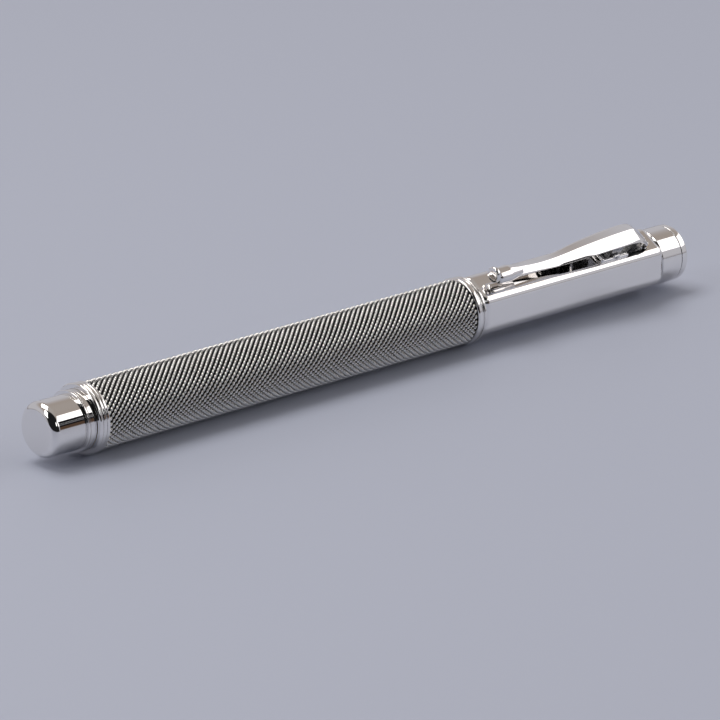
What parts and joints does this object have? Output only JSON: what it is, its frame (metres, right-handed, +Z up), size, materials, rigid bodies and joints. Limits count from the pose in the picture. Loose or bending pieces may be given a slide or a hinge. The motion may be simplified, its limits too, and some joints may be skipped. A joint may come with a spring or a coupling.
{
  "type": "rollerball pen",
  "caption": "Capped rollerball pen with a woven wire barrel sleeve, a hexagonal polished cap with a sprung ridged clip, a screw-in grip section and a sprung refill",
  "frame": {"origin": "on the pen's axis at the flat end face of the barrel", "axes": "+X along the pen from the barrel's end to the crown of the cap, +Z up with the pen lying on its side, +Y away from the side that the clip leans to"},
  "size_m": [0.1376, 0.0122, 0.0141],
  "materials": {
    "polished_plate": "bright polished plating",
    "woven_steel": "woven bright wire over darkened gaps",
    "brass_tube": "machined",
    "spring_steel": "drawn wire and strip",
    "point_steel": "turned and ground",
    "seal_rubber": "moulded black rubber",
    "grip_lacquer": "gloss black",
    "refill_plastic": "extruded, satin",
    "ink_fibre": "bonded fibre soaked in black ink",
    "liner_plastic": "moulded, satin black"
  },
  "bodies": {
    "barrel": {"barrel_end_cap": "polished_plate", "barrel_end_band": "polished_plate", "barrel_bead_ring": "polished_plate", "barrel_double_ring": "polished_plate", "barrel_tube": "brass_tube", "mesh_sleeve": "woven_steel", "barrel_front_ring": "polished_plate", "barrel_thread_bush": "brass_tube", "refill_spring": "spring_steel"},
    "seal": {"section_seal": "seal_rubber"},
    "section": {"section_screw": "brass_tube", "section_collar": "polished_plate", "grip_section": "grip_lacquer", "section_cone": "polished_plate"},
    "refill": {"refill_tube": "refill_plastic", "refill_end_plug": "refill_plastic", "ink_wick": "ink_fibre", "refill_nose": "refill_plastic", "ink_feed": "ink_fibre", "refill_point": "point_steel"},
    "ball": {"refill_ball": "point_steel"},
    "cap": {"cap_lip_ring": "polished_plate", "cap_shell": "polished_plate", "cap_snap_ring": "liner_plastic", "cap_liner": "liner_plastic", "cap_plug": "brass_tube", "crown_screw": "point_steel", "crown": "polished_plate", "crown_disc": "polished_plate", "clip_bracket": "polished_plate", "clip_pin": "point_steel", "clip_spring": "spring_steel"},
    "clip": {"clip_arm": "polished_plate", "clip_foot": "polished_plate", "clip_bead": "polished_plate", "clip_hinge_block": "polished_plate"}
  },
  "joints": [
    {"name": "section_lift", "type": "slide", "parent": "barrel", "child": "seal", "axis": [1, 0, 0], "range_m": [0, 0.006]},
    {"name": "section_turn", "type": "hinge", "parent": "seal", "child": "section", "pos_m": [0.0892, 0, 0], "axis": [1, 0, 0], "range_deg": [0, 2880]},
    {"name": "refill_press", "type": "slide", "parent": "section", "child": "refill", "axis": [-1, 0, 0], "range_m": [0, 0.001], "stiffness_N_per_m": 400, "springref_m": -0.0005, "deforming": ["refill_spring"]},
    {"name": "ball_roll", "type": "hinge", "parent": "refill", "child": "ball", "pos_m": [0.1256, 0, 0], "axis": [0, 1, 0], "continuous": true},
    {"name": "cap_pull", "type": "slide", "parent": "section", "child": "cap", "axis": [1, 0, 0], "range_m": [0, 0.045]},
    {"name": "clip_open", "type": "hinge", "parent": "cap", "child": "clip", "pos_m": [0.1204, -0.00292, 0.00466], "axis": [0, 0.848, 0.5299], "range_deg": [0, 5], "stiffness_Nm_per_rad": 0.25, "springref_deg": -2.86, "deforming": ["clip_spring"]}
  ],
  "couplings": [
    {"joint": "section_lift", "follows": "section_turn", "m_per_rad": 0.00011937}
  ]
}
